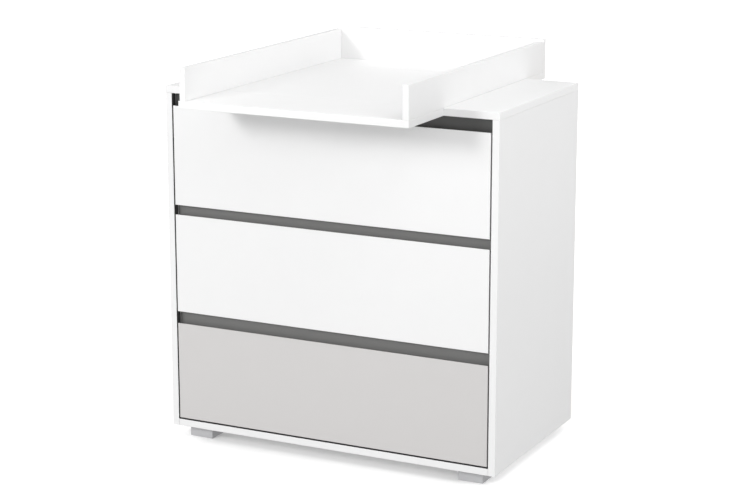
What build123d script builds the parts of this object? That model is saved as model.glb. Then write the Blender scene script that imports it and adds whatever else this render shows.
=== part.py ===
"""Changing table: a chest of three drawers that carries a lift-off changing top.

Millimetres. X runs across the front, Y from front to back, Z up. The origin lies on the floor,
under the middle of the whole outline: the chest across X, the longer changing top along Y.
"""

from build123d import *
from math import floor, radians, tan
import os

# ---- Chest ------------------------------------------------------------------------------
CHEST_WIDTH = 900.0
CHEST_DEPTH = 500.0
CARCASS_HEIGHT = 880.0  # underside of the bottom panel to the chest's top face
CARCASS_BOARD = 18.0  # top, bottom and side panels
SIDE_REVEAL = 0.5  # the top panel's ends stand this far proud of the side panels
EDGE_RADIUS = 1.0  # edge band, eased
BACK_BOARD = 3.0  # thin back panel, held in a groove
BACK_INSET = 12.0  # rear edge of the carcass to the back panel
BACK_GROOVE = 8.0  # depth of the groove
GROOVE_PLAY = 0.25  # on each side of a board in its groove
GROOVE_END_PLAY = 0.5  # at the bottom of the groove

# ---- Feet -------------------------------------------------------------------------------
FOOT_WIDTH = 65.0
FOOT_DEPTH = 65.0
FOOT_HEIGHT = 30.0
FOOT_INSET = 40.0  # from each end of the chest
FOOT_SETBACK = 20.0  # from the front, and from the back
FOOT_RADIUS = 1.5
FOOT_SCREW_PITCH = 32.0
FOOT_FLOOR = 14.0  # left above the counterbore, under the screw's head
FOOT_COUNTERBORE_RADIUS = 5.0

# ---- Drawer fronts and the recesses that serve as handles --------------------------------
FINGER_GAPS = [31.0, 25.0, 31.0]  # above the upper, middle and lower front
BOTTOM_GAP = 4.0
SIDE_GAP = 3.5
FRONT_BOARD = 18.0
GRIP_LAND = 1.5  # flat left on a front's top edge, before it slopes away behind
GRIP_ANGLE = 45.0
RAIL_BOARD = 16.0
RAIL_SETBACK = 1.0  # behind the back of the fronts
RAIL_LAP = 5.5  # below the foot of the front's slope
RAIL_RISE = 12.0  # behind the front above

# ---- Drawer boxes ------------------------------------------------------------------------
BOX_BOARD = 12.0
BOX_CLEARANCE = 4.0  # to the rails above and below
BOX_REAR_CLEARANCE = 32.0
BOX_BOTTOM_BOARD = 3.0
BOX_BOTTOM_RISE = 12.0  # lower edge of the box to the underside of its bottom
BOX_GROOVE = 6.0
BOX_EDGE_RADIUS = 0.8
CORNER_SCREW_INSET = 22.0  # from the box's upper and lower edges
FRONT_SCREW_INSET_X = 110.0
FRONT_SCREW_INSET_Z = 50.0

# ---- Telescopic slides -------------------------------------------------------------------
SLIDE_THICKNESS = 13.0  # the room between carcass and drawer box
SLIDE_HEIGHT = 45.0
SLIDE_STEP = 50.0  # slides are sold in lengths of this step
SLIDE_START = 8.0  # behind the drawer's front board
SLIDE_RISE = 60.0  # middle of the slide above the box's lower edge
SLIDE_WALL = 1.2
BALL_GAP = 1.8  # between nested members
WEB_GAP = 2.6  # room for screw heads behind the middle member
OUTER_CLEARANCE = 3.0  # outer member's flanges to the drawer box
MIDDLE_CLEARANCE = 1.2  # middle member's flanges to the drawer box
INNER_CLEARANCE = 0.8  # inner member's flanges to the middle member's web
SLIDE_SCREW_INSET = 30.0

# ---- Changing top ------------------------------------------------------------------------
CHANGER_WIDTH = 600.0
FRONT_OVERHANG = 187.0  # past the drawer fronts
REAR_OVERHANG = 129.0  # past the back of the chest
CHANGER_OFFSET = 8.0  # its middle, right of the chest's middle
RIM_BOARD = 16.0
RIM_HEIGHT = 80.0  # above the changing surface
REAR_RIM_RISE = 6.0  # the rear rim stands higher than the side rims
FRONT_BOARD_PROUD = 4.0  # left end of the front board, past the left rim
CHANGER_PLAY = 0.5  # to the chest's top panel, front and back
CHANGER_SCREW_INSET = 28.0

# ---- Fasteners ---------------------------------------------------------------------------
FIT = 0.05  # radial play of a fastener in its hole
CUT_MARGIN = 1.0  # an open cut runs this far past the surface it leaves by
SCREW_RADIUS = 2.0
SCREW_POINT = 1.0  # chamfer at the end of the shank
PAN_HEAD_RADIUS = 4.0
PAN_HEAD_HEIGHT = 2.0
PAN_HEAD_ROUNDING = 0.65
SUNK_HEAD_RADIUS = 4.0
SUNK_HEAD_HEIGHT = 2.0
CROSS_LENGTH = 4.0
CROSS_WIDTH = 0.8
CROSS_DEPTH = 1.2
SLIDE_SCREW = 12.0
FOOT_SCREW = 26.0
FRONT_SCREW = 24.0
CORNER_SCREW = 35.0
CHANGER_SCREW = 50.0
DOWEL_RADIUS = 4.0
DOWEL_IN_FACE = 11.5
DOWEL_IN_END = 18.5
DOWEL_END_PLAY = 0.5
DOWEL_CHAMFER = 1.0
CAM_RADIUS = 7.4
CAM_DEPTH = 12.0
CAM_REACH = 34.0  # from the joint to the cam's middle
BOLT_THREAD_RADIUS = 3.0
BOLT_THREAD = 11.0
BOLT_NECK_RADIUS = 2.5
BOLT_HEAD_RADIUS = 3.4
BOLT_HEAD = 3.0
BOLT_BORE_RADIUS = 4.0
CAM_INSET = 60.0  # cam fittings from the front and back edges of a panel
DOWEL_INSET = 110.0
RAIL_DOWEL_OFFSET = 17.0

# ---- Places that follow from the sizes ---------------------------------------------------
CHANGER_LENGTH = FRONT_OVERHANG + CHEST_DEPTH + REAR_OVERHANG
CHANGER_FRONT = -CHANGER_LENGTH / 2
CHANGER_BACK = CHANGER_LENGTH / 2
CHANGER_LEFT = CHANGER_OFFSET - CHANGER_WIDTH / 2
CHANGER_RIGHT = CHANGER_OFFSET + CHANGER_WIDTH / 2
CHEST_FRONT = CHANGER_FRONT + FRONT_OVERHANG
CHEST_BACK = CHEST_FRONT + CHEST_DEPTH
BASE_Z = FOOT_HEIGHT
FLOOR_Z = BASE_Z + CARCASS_BOARD  # upper face of the bottom panel
FOOT_COUNTERBORE = FOOT_HEIGHT - FOOT_FLOOR
TOP_Z = BASE_Z + CARCASS_HEIGHT
TOP_UNDER_Z = TOP_Z - CARCASS_BOARD
SIDE_OUTER = CHEST_WIDTH / 2 - SIDE_REVEAL
SIDE_INNER = SIDE_OUTER - CARCASS_BOARD
BACK_FACE = CHEST_BACK - BACK_INSET - BACK_BOARD

FRONT_HALF = SIDE_INNER - SIDE_GAP
FRONT_REAR = CHEST_FRONT + FRONT_BOARD
FRONT_HEIGHT = (TOP_UNDER_Z - FLOOR_Z - sum(FINGER_GAPS) - BOTTOM_GAP) / len(FINGER_GAPS)
FRONT_SPANS = []  # top and bottom Z of each drawer front, from the upper one down
lowest = TOP_UNDER_Z
for finger_gap in FINGER_GAPS:
    FRONT_SPANS.append((lowest - finger_gap, lowest - finger_gap - FRONT_HEIGHT))
    lowest -= finger_gap + FRONT_HEIGHT
GRIP_DROP = (FRONT_BOARD - GRIP_LAND) * tan(radians(GRIP_ANGLE))
RAIL_DROP = GRIP_DROP + RAIL_LAP
RAIL_FRONT = FRONT_REAR + RAIL_SETBACK
RAIL_MIDDLE_Y = RAIL_FRONT + RAIL_BOARD / 2

BOX_HALF = SIDE_INNER - SLIDE_THICKNESS
BOX_INNER = BOX_HALF - BOX_BOARD
BOX_BACK = BACK_FACE - BOX_REAR_CLEARANCE
BOX_HEIGHT = FRONT_HEIGHT - RAIL_DROP - RAIL_RISE - 2 * BOX_CLEARANCE

SLIDE_FRONT = FRONT_REAR + SLIDE_START
SLIDE_LENGTH = SLIDE_STEP * floor((BOX_BACK - SLIDE_FRONT) / SLIDE_STEP)
SLIDE_SCREW_PLACES = [
    SLIDE_FRONT + SLIDE_SCREW_INSET,
    SLIDE_FRONT + SLIDE_LENGTH / 2,
    SLIDE_FRONT + SLIDE_LENGTH - SLIDE_SCREW_INSET,
]

SIDES = {"left": -1, "right": 1}
UP = (0, 0, 1)
DOWN = (0, 0, -1)
BACKWARD = (0, 1, 0)
FORWARD = (0, -1, 0)


def sideways(side):
    """The direction out of the chest on one side."""
    return (side, 0, 0)


# ---- Plain shapes --------------------------------------------------------------------------
def block(x, y, z):
    """A box from three (low, high) pairs, in either order."""
    low = [min(pair) for pair in (x, y, z)]
    high = [max(pair) for pair in (x, y, z)]
    centre = [(a + b) / 2 for a, b in zip(low, high)]
    size = [b - a for a, b in zip(low, high)]
    return Pos(*centre) * Box(*size)


def board(x, y, z, radius=EDGE_RADIUS):
    """A board with all its edges eased."""
    solid = block(x, y, z)
    return fillet(solid.edges(), radius)


def rod(radius, low, high):
    """A cylinder along Z between two heights."""
    return Pos(0, 0, (low + high) / 2) * Cylinder(radius, high - low)


def frame_at(origin, direction, across=None):
    """A local frame whose Z points along direction."""
    if across is None:
        return Plane(origin=origin, z_dir=direction)
    return Plane(origin=origin, x_dir=across, z_dir=direction)


def cross_recess(top):
    """The driver's cross, cut down from a height."""
    long = (-CROSS_LENGTH / 2, CROSS_LENGTH / 2)
    short = (-CROSS_WIDTH / 2, CROSS_WIDTH / 2)
    z = (top - CROSS_DEPTH, top)
    return block(long, short, z) + block(short, long, z)


# ---- Fasteners: each is built along Z, with its point upwards --------------------------------
def pan_screw(length):
    """A pan-head screw: the head lies under Z = 0, the shank above."""
    head = rod(PAN_HEAD_RADIUS, -PAN_HEAD_HEIGHT, 0)
    head = fillet(head.edges().sort_by(Axis.Z)[0], PAN_HEAD_ROUNDING)
    shank = rod(SCREW_RADIUS, 0, length)
    shank = chamfer(shank.edges().sort_by(Axis.Z)[-1], SCREW_POINT)
    return (head + shank) - Rot(180, 0, 0) * cross_recess(PAN_HEAD_HEIGHT)


def sunk_cone(play):
    """The cone of a countersunk head, from Z = 0 up to the shank."""
    cone = Cone(SUNK_HEAD_RADIUS + play, SCREW_RADIUS + play, SUNK_HEAD_HEIGHT)
    return Pos(0, 0, SUNK_HEAD_HEIGHT / 2) * cone


def sunk_screw(length):
    """A countersunk screw: its flat head is level with Z = 0."""
    head = sunk_cone(0)
    shank = rod(SCREW_RADIUS, SUNK_HEAD_HEIGHT, length)
    shank = chamfer(shank.edges().sort_by(Axis.Z)[-1], SCREW_POINT)
    return (head + shank) - Rot(180, 0, 0) * cross_recess(0)


def screw_hole(length):
    """The hole for a screw's shank."""
    return rod(SCREW_RADIUS + FIT, 0, length + FIT)


def sunk_hole(length):
    """The hole for a countersunk screw, with its cone."""
    return sunk_cone(FIT) + screw_hole(length)


def dowel():
    """A wood dowel across the joint at Z = 0, deeper in the board's end above it."""
    pin = rod(DOWEL_RADIUS, -DOWEL_IN_FACE, DOWEL_IN_END)
    return chamfer(pin.edges(), DOWEL_CHAMFER)


def dowel_hole():
    """Room for a dowel in both boards."""
    return rod(DOWEL_RADIUS + FIT, -DOWEL_IN_FACE - DOWEL_END_PLAY, DOWEL_IN_END + DOWEL_END_PLAY)


def cam_barrel(radius, depth, face):
    """A cylinder along X that ends at a board's face, with its middle over the joint."""
    barrel = Rot(0, 90, 0) * Cylinder(radius, depth)
    return Pos(face - depth / 2, 0, CAM_REACH) * barrel


def cam_bolt():
    """The bolt of a cam fitting: threaded below the joint, its head in the cam above."""
    thread = rod(BOLT_THREAD_RADIUS, -BOLT_THREAD, 0)
    neck = rod(BOLT_NECK_RADIUS, 0, CAM_REACH - BOLT_HEAD)
    head = rod(BOLT_HEAD_RADIUS, CAM_REACH - BOLT_HEAD, CAM_REACH)
    return thread + neck + head


def cam_lock(face):
    """The cam, open below for the bolt's head, with a cross in its outer face."""
    barrel = cam_barrel(CAM_RADIUS, CAM_DEPTH, face)
    throat = rod(BOLT_BORE_RADIUS, CAM_REACH - CAM_RADIUS - CUT_MARGIN, CAM_REACH + FIT)
    cross = Pos(face, 0, CAM_REACH) * Rot(0, 90, 0) * cross_recess(0)
    return barrel - throat - cross


def cam_hole(face):
    """Room for bolt and cam in the board above the joint, and for the thread below it."""
    thread = rod(BOLT_THREAD_RADIUS + FIT, -BOLT_THREAD - FIT, 0)
    bore = rod(BOLT_BORE_RADIUS, 0, CAM_REACH)
    pocket = cam_barrel(CAM_RADIUS + FIT, CAM_DEPTH + FIT, face + FIT)
    return thread + bore + pocket


# ---- Joints of the carcass ------------------------------------------------------------------
class Joints:
    """Collects the carcass's fasteners and the holes that the boards need for them."""

    def __init__(self):
        self.dowels = []
        self.cams = []
        self.screws = []
        self.holes = []

    def add_dowel(self, place):
        self.dowels.append(place * dowel())
        self.holes.append(place * dowel_hole())

    def add_cam(self, place, face):
        self.cams.append(place * cam_bolt())
        self.cams.append(place * cam_lock(face))
        self.holes.append(place * cam_hole(face))

    def add_screw(self, place, length, hole):
        self.screws.append(place * pan_screw(length))
        self.holes.append(place * hole)


def rail_span(index):
    """Lowest and highest Z of a grip rail."""
    top_edge, _ = FRONT_SPANS[index]
    low = top_edge - RAIL_DROP
    if index == 0:
        return (low, TOP_UNDER_Z)
    _, upper_bottom = FRONT_SPANS[index - 1]
    return (low, upper_bottom + RAIL_RISE)


def slide_height(index):
    """Z of the middle of a drawer's slides."""
    return FRONT_SPANS[index][1] + RAIL_RISE + BOX_CLEARANCE + SLIDE_RISE


def foot_places():
    """Each foot's name and middle."""
    x = CHEST_WIDTH / 2 - FOOT_INSET - FOOT_WIDTH / 2
    y_front = CHEST_FRONT + FOOT_SETBACK + FOOT_DEPTH / 2
    y_rear = CHEST_BACK - FOOT_SETBACK - FOOT_DEPTH / 2
    places = {}
    for name, side in SIDES.items():
        places[f"front_{name}_foot"] = (side * x, y_front)
        places[f"rear_{name}_foot"] = (side * x, y_rear)
    return places


def carcass_joints():
    """Dowels, cams and screws of the chest."""
    joints = Joints()
    mid = CARCASS_BOARD / 2
    for side in SIDES.values():
        out = sideways(side)
        inward = sideways(-side)
        for y, kind in (
            (CHEST_FRONT + CAM_INSET, "cam"),
            (CHEST_FRONT + DOWEL_INSET, "dowel"),
            (CHEST_BACK - DOWEL_INSET, "dowel"),
            (CHEST_BACK - CAM_INSET, "cam"),
        ):
            top_joint = frame_at((side * (SIDE_INNER + mid), y, TOP_UNDER_Z), DOWN, inward)
            bottom_joint = frame_at((side * SIDE_INNER, y, BASE_Z + mid), inward, DOWN)
            for place in (top_joint, bottom_joint):
                if kind == "cam":
                    joints.add_cam(place, mid)
                else:
                    joints.add_dowel(place)
        for index in range(len(FINGER_GAPS)):
            low, high = rail_span(index)
            z = (low + high) / 2
            cam_place = frame_at((side * SIDE_INNER, RAIL_MIDDLE_Y, z), inward, BACKWARD)
            dowel_place = frame_at((side * SIDE_INNER, RAIL_MIDDLE_Y, z + RAIL_DOWEL_OFFSET), inward)
            joints.add_cam(cam_place, RAIL_BOARD / 2)
            joints.add_dowel(dowel_place)
            for y in SLIDE_SCREW_PLACES:
                place = frame_at((side * (SIDE_INNER - SLIDE_WALL), y, slide_height(index)), out)
                joints.add_screw(place, SLIDE_SCREW, screw_hole(SLIDE_SCREW))
    for x, y in foot_places().values():
        for shift in (-FOOT_SCREW_PITCH / 2, FOOT_SCREW_PITCH / 2):
            place = frame_at((x, y + shift, FOOT_COUNTERBORE), UP)
            joints.add_screw(place, FOOT_SCREW, screw_hole(FOOT_SCREW))
    return joints


# ---- Chest pieces ----------------------------------------------------------------------------
def back_span():
    """Half width, lowest and highest Z of the back panel, in its grooves."""
    reach = BACK_GROOVE - GROOVE_END_PLAY
    return SIDE_INNER + reach, FLOOR_Z - reach, TOP_UNDER_Z + reach


def back_groove():
    """The groove that runs round the carcass, cut from its four panels."""
    y = (BACK_FACE - GROOVE_PLAY, BACK_FACE + BACK_BOARD + GROOVE_PLAY)
    x = SIDE_INNER + BACK_GROOVE
    return block((-x, x), y, (FLOOR_Z - BACK_GROOVE, TOP_UNDER_Z + BACK_GROOVE))


def carcass():
    """The chest's fixed pieces by name."""
    joints = carcass_joints()
    depth = (CHEST_FRONT, CHEST_BACK)
    inner = (-SIDE_INNER, SIDE_INNER)
    cuts = joints.holes + [back_groove()]
    pieces = {}
    pieces["top_panel"] = board((-CHEST_WIDTH / 2, CHEST_WIDTH / 2), depth, (TOP_UNDER_Z, TOP_Z)) - cuts
    pieces["bottom_panel"] = board(inner, depth, (BASE_Z, FLOOR_Z)) - cuts
    for name, side in SIDES.items():
        side_panel = board((side * SIDE_INNER, side * SIDE_OUTER), depth, (BASE_Z, TOP_UNDER_Z))
        pieces[f"{name}_side_panel"] = side_panel - cuts
    half, low, high = back_span()
    pieces["back_panel"] = block((-half, half), (BACK_FACE, BACK_FACE + BACK_BOARD), (low, high))
    rail_y = (RAIL_FRONT, RAIL_FRONT + RAIL_BOARD)
    for index in range(len(FINGER_GAPS)):
        rail = board(inner, rail_y, rail_span(index))
        pieces[f"grip_rail_{index + 1}"] = rail - joints.holes
    for name, (x, y) in foot_places().items():
        pieces[name] = foot(x, y) - joints.holes
    pieces["wood_dowels"] = joints.dowels
    pieces["cam_fittings"] = joints.cams
    pieces["chest_screws"] = joints.screws
    return pieces


def foot(x, y):
    """A low block foot, counterbored from below for its two screws."""
    body = board(
        (x - FOOT_WIDTH / 2, x + FOOT_WIDTH / 2),
        (y - FOOT_DEPTH / 2, y + FOOT_DEPTH / 2),
        (0, FOOT_HEIGHT),
        FOOT_RADIUS,
    )
    for shift in (-FOOT_SCREW_PITCH / 2, FOOT_SCREW_PITCH / 2):
        body -= Pos(x, y + shift, 0) * rod(FOOT_COUNTERBORE_RADIUS, 0, FOOT_COUNTERBORE)
    return body


# ---- Slides ----------------------------------------------------------------------------------
def channel(web_x, flange_x, height, z):
    """One member of a slide: a web at web_x, with flanges that reach to flange_x."""
    side = 1 if flange_x > web_x else -1
    y = (SLIDE_FRONT, SLIDE_FRONT + SLIDE_LENGTH)
    half = height / 2
    outside = block((web_x, flange_x), y, (z - half, z + half))
    inside_x = (web_x + side * SLIDE_WALL, flange_x + side * CUT_MARGIN)
    inside = block(inside_x, y, (z - half + SLIDE_WALL, z + half - SLIDE_WALL))
    return outside - inside


def slide(side, index):
    """The outer, middle and inner members of one slide."""
    z = slide_height(index)
    middle_height = SLIDE_HEIGHT - 2 * (SLIDE_WALL + BALL_GAP)
    inner_height = middle_height - 2 * (SLIDE_WALL + BALL_GAP)
    middle_web = SIDE_INNER - SLIDE_WALL - WEB_GAP
    outer_flange = BOX_HALF + OUTER_CLEARANCE
    middle_flange = BOX_HALF + MIDDLE_CLEARANCE
    inner_flange = middle_web - SLIDE_WALL - INNER_CLEARANCE
    outer = channel(side * SIDE_INNER, side * outer_flange, SLIDE_HEIGHT, z)
    middle = channel(side * middle_web, side * middle_flange, middle_height, z)
    inner = channel(side * BOX_HALF, side * inner_flange, inner_height, z)
    for y in SLIDE_SCREW_PLACES:
        outer -= frame_at((side * SIDE_INNER, y, z), sideways(-side)) * screw_hole(SLIDE_WALL)
        inner -= frame_at((side * BOX_HALF, y, z), sideways(side)) * screw_hole(SLIDE_WALL)
    return {"outer": outer, "middle": middle, "inner": inner}


# ---- Drawers -----------------------------------------------------------------------------------
def drawer_front(index):
    """The front board: its top edge slopes down behind, to leave room for the fingers."""
    top_edge, bottom_edge = FRONT_SPANS[index]
    outline = [
        (CHEST_FRONT, bottom_edge),
        (CHEST_FRONT, top_edge),
        (CHEST_FRONT + GRIP_LAND, top_edge),
        (FRONT_REAR, top_edge - GRIP_DROP),
        (FRONT_REAR, bottom_edge),
    ]
    profile = Plane.YZ * make_face(Polyline(*outline, close=True))
    solid = Pos(-FRONT_HALF, 0, 0) * extrude(profile, 2 * FRONT_HALF, dir=(1, 0, 0))
    face = solid.faces().sort_by(Axis.Y)[0]
    return fillet(face.edges(), min(EDGE_RADIUS, GRIP_LAND / 2))


def drawer_screws(index, low, high):
    """Places and lengths of a drawer's screws: front, corners and slides."""
    pans = []
    sunk = []
    for x in (-BOX_INNER + FRONT_SCREW_INSET_X, BOX_INNER - FRONT_SCREW_INSET_X):
        for z in (low + FRONT_SCREW_INSET_Z, high - FRONT_SCREW_INSET_Z):
            pans.append((frame_at((x, FRONT_REAR + BOX_BOARD, z), FORWARD), FRONT_SCREW))
    for side in SIDES.values():
        for y in SLIDE_SCREW_PLACES:
            origin = (side * (BOX_HALF + SLIDE_WALL), y, slide_height(index))
            pans.append((frame_at(origin, sideways(-side)), SLIDE_SCREW))
        for y in (FRONT_REAR + BOX_BOARD / 2, BOX_BACK - BOX_BOARD / 2):
            for z in (low + CORNER_SCREW_INSET, high - CORNER_SCREW_INSET):
                sunk.append((frame_at((side * BOX_HALF, y, z), sideways(-side)), CORNER_SCREW))
    return pans, sunk


def drawer(index):
    """One drawer's pieces by name."""
    low = FRONT_SPANS[index][1] + RAIL_RISE + BOX_CLEARANCE
    high = low + BOX_HEIGHT
    pans, sunk = drawer_screws(index, low, high)
    cuts = [place * screw_hole(length) for place, length in pans]
    cuts += [place * sunk_hole(length) for place, length in sunk]
    groove_z = low + BOX_BOTTOM_RISE
    groove_x = BOX_INNER + BOX_GROOVE
    groove_y = (FRONT_REAR + BOX_BOARD - BOX_GROOVE, BOX_BACK - BOX_BOARD + BOX_GROOVE)
    groove_span = (groove_z - GROOVE_PLAY, groove_z + BOX_BOTTOM_BOARD + GROOVE_PLAY)
    cuts.append(block((-groove_x, groove_x), groove_y, groove_span))
    across = (-BOX_INNER, BOX_INNER)
    pieces = {"front": drawer_front(index) - cuts}
    front_y = (FRONT_REAR, FRONT_REAR + BOX_BOARD)
    back_y = (BOX_BACK - BOX_BOARD, BOX_BACK)
    pieces["inner_front"] = board(across, front_y, (low, high), BOX_EDGE_RADIUS) - cuts
    pieces["back"] = board(across, back_y, (low, high), BOX_EDGE_RADIUS) - cuts
    for name, side in SIDES.items():
        span = (side * BOX_INNER, side * BOX_HALF)
        box_side = board(span, (FRONT_REAR, BOX_BACK), (low, high), BOX_EDGE_RADIUS)
        pieces[f"{name}_side"] = box_side - cuts
    bottom_x = groove_x - GROOVE_END_PLAY
    bottom_y = (groove_y[0] + GROOVE_END_PLAY, groove_y[1] - GROOVE_END_PLAY)
    bottom_z = (groove_z, groove_z + BOX_BOTTOM_BOARD)
    pieces["bottom"] = block((-bottom_x, bottom_x), bottom_y, bottom_z)
    screws = [place * pan_screw(length) for place, length in pans]
    screws += [place * sunk_screw(length) for place, length in sunk]
    pieces["screws"] = screws
    return {f"drawer_{index + 1}_{name}": piece for name, piece in pieces.items()}


# ---- Changing top --------------------------------------------------------------------------------
def changer_screw_places():
    """Countersunk screws: up through the boards, and forwards through the rear rim."""
    rim_mid = RIM_BOARD / 2
    board_mid = TOP_Z - CARCASS_BOARD / 2
    rim_rear = CHANGER_BACK - RIM_BOARD
    places = []
    for x in (CHANGER_LEFT + rim_mid, CHANGER_RIGHT - rim_mid):
        front_ys = (CHANGER_FRONT + CHANGER_SCREW_INSET, CHEST_FRONT - CHANGER_SCREW_INSET)
        rear_y = (CHEST_BACK + rim_rear) / 2
        for y in (*front_ys, rear_y):
            places.append(frame_at((x, y, TOP_UNDER_Z), UP))
        for z in (TOP_Z + CHANGER_SCREW_INSET, TOP_Z + RIM_HEIGHT - CHANGER_SCREW_INSET):
            places.append(frame_at((x, CHANGER_BACK, z), FORWARD))
    for x in (CHANGER_LEFT + CHANGER_WIDTH / 4, CHANGER_OFFSET, CHANGER_RIGHT - CHANGER_WIDTH / 4):
        places.append(frame_at((x, CHANGER_BACK, board_mid), FORWARD))
    return places


def changer():
    """The lift-off changing top's pieces by name."""
    places = changer_screw_places()
    cuts = [place * sunk_hole(CHANGER_SCREW) for place in places]
    rim_rear = CHANGER_BACK - RIM_BOARD
    rim_z = (TOP_Z, TOP_Z + RIM_HEIGHT)
    rear_rim_z = (TOP_UNDER_Z, TOP_Z + RIM_HEIGHT + REAR_RIM_RISE)
    board_z = (TOP_UNDER_Z, TOP_Z)
    left = (CHANGER_LEFT, CHANGER_LEFT + RIM_BOARD)
    right = (CHANGER_RIGHT - RIM_BOARD, CHANGER_RIGHT)
    front_x = (CHANGER_LEFT - FRONT_BOARD_PROUD, CHANGER_RIGHT)
    whole_x = (CHANGER_LEFT, CHANGER_RIGHT)
    pieces = {
        "left_rim": board(left, (CHANGER_FRONT, rim_rear), rim_z),
        "right_rim": board(right, (CHANGER_FRONT, rim_rear), rim_z),
        "rear_rim": board(whole_x, (rim_rear, CHANGER_BACK), rear_rim_z),
        "front_extension_board": board(front_x, (CHANGER_FRONT, CHEST_FRONT - CHANGER_PLAY), board_z),
        "rear_extension_board": board(whole_x, (CHEST_BACK + CHANGER_PLAY, rim_rear), board_z),
    }
    pieces = {name: piece - cuts for name, piece in pieces.items()}
    pieces["changer_screws"] = [place * sunk_screw(CHANGER_SCREW) for place in places]
    return pieces


# ---- Everything ------------------------------------------------------------------------------------
def all_pieces():
    """Every node of the changing table, by name."""
    pieces = carcass()
    for index in range(len(FINGER_GAPS)):
        for name, side in SIDES.items():
            for member, piece in slide(side, index).items():
                pieces[f"drawer_{index + 1}_{name}_slide_{member}"] = piece
        pieces.update(drawer(index))
    pieces.update(changer())
    return pieces


def save(name, piece):
    """Write one node to its own STEP file; a list is a group of separate solids."""
    if isinstance(piece, list):
        piece = Compound([solid for item in piece for solid in item.solids()])
    export_step(piece, f"parts/{name}.step")


os.makedirs("parts", exist_ok=True)
for node, shape in all_pieces().items():
    save(node, shape)
print("chest", CHEST_WIDTH, CHEST_DEPTH, TOP_Z, "changer", CHANGER_WIDTH, CHANGER_LENGTH)
print("front height", FRONT_HEIGHT, "box height", BOX_HEIGHT, "slide length", SLIDE_LENGTH)
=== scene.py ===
# %% [markdown]
# # A changing table, from bare solids to a finished picture
# The table is a chest of three drawers with a changing top laid over it. Its boards, feet, slides
# and fasteners come from the CAD model and are already the right size and in the right place.
# This lesson gives them their finishes, adds the small parts that a CAD model leaves plain, and
# sets up the camera, the floor and the light.

# %% Load the model
import math
import bmesh
import bpy
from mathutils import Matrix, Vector


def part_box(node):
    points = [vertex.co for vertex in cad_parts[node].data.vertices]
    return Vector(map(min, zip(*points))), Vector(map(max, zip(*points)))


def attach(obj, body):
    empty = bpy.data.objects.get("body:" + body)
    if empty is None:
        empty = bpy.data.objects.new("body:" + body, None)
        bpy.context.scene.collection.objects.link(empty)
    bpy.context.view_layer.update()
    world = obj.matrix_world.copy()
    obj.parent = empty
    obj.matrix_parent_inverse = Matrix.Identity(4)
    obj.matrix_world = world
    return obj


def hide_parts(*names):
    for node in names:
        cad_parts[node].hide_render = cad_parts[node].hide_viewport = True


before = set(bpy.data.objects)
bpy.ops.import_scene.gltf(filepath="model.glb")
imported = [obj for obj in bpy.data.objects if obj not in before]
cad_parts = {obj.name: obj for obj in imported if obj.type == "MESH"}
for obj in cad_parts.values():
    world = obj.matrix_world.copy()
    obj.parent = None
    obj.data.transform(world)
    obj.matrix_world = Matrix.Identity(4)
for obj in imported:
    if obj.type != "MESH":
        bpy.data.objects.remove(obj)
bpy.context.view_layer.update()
scene = bpy.context.scene

# %% [markdown]
# The finishes and the parts that repeat are built from nodes, so the first tools are two small
# functions. Colours are written as the hex values that a paint chart would give. Blender mixes
# light in linear values, so one function turns a hex value into a linear colour. The other adds
# any node, sets its properties and fills its sockets, either with a value or with another node's
# output.

# %% Colours and nodes
def linear(hex_colour):
    """The linear RGBA colour of an sRGB hex value."""
    channels = [int(hex_colour[i:i + 2], 16) / 255 for i in (1, 3, 5)]
    steps = [c / 12.92 if c <= 0.04045 else ((c + 0.055) / 1.055) ** 2.4 for c in channels]
    return (*steps, 1.0)


def add(tree, kind, sockets=None, **settings):
    """A new node; sockets maps an input's name or number to a value or to an output."""
    node = tree.nodes.new(kind)
    for name, value in settings.items():
        setattr(node, name, value)
    for key, value in (sockets or {}).items():
        if isinstance(value, bpy.types.NodeSocket):
            tree.links.new(value, node.inputs[key])
        else:
            node.inputs[key].default_value = value
    return node


print("mid grey", [round(v, 3) for v in linear("#808080")])

# %% [markdown]
# A finish needs an empty material to start from, and the point on the surface that its pattern
# is drawn at. Object coordinates are used all through: they are the model's own metres, so a
# grain of 3 mm is simply 1000 / 3 cells per metre, and the pattern stays put when a drawer moves.

# %% An empty material
def new_finish(name):
    """A material with an output and nothing else; returns it, its tree and its coordinates."""
    material = bpy.data.materials.new(name)
    material.use_nodes = True
    tree = material.node_tree
    tree.nodes.clear()
    return material, tree, add(tree, "ShaderNodeTexCoord")


def close_finish(tree, shader):
    """Sends a shader to the material's output."""
    add(tree, "ShaderNodeOutputMaterial", {"Surface": shader.outputs["BSDF"]})


def per_metre(millimetres):
    """How many times a size in millimetres fits in a metre: a noise texture's scale."""
    return 1000 / millimetres


print("3 mm grain, scale", round(per_metre(3)))

# %% [markdown]
# The boards are particle board faced with melamine: paper soaked in resin, pressed between
# steel plates that leave a faint pearl texture. The narrow edges carry a 1 mm ABS band that is
# planed flush and scraped round, so it is a little glossier, and a hair-thin glue line shows
# where it meets the face. The surface normal tells face and edge apart: on a face it points
# along the board's thin direction. One function makes all the melamine finishes, for boards
# that lie flat, stand along the sides, or stand across the front. Inside the opening for the
# drawers, a band as deep as the drawer fronts carries painted shade in dark graphite, so that
# the narrow gaps round the fronts read as crisp dark lines. A board with this painted shade
# turns dark where it looks into the chest and lies in front of the fronts' rear faces.

# %% Melamine
CHEST_MIDDLE = (0, 0, 0.47)
FRONTS_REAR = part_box("drawer_1_front")[1].y
# the dark graphite of the painted shade in the narrow gaps round the drawer fronts
GAP_SHADE = "#3a3a3a"


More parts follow.
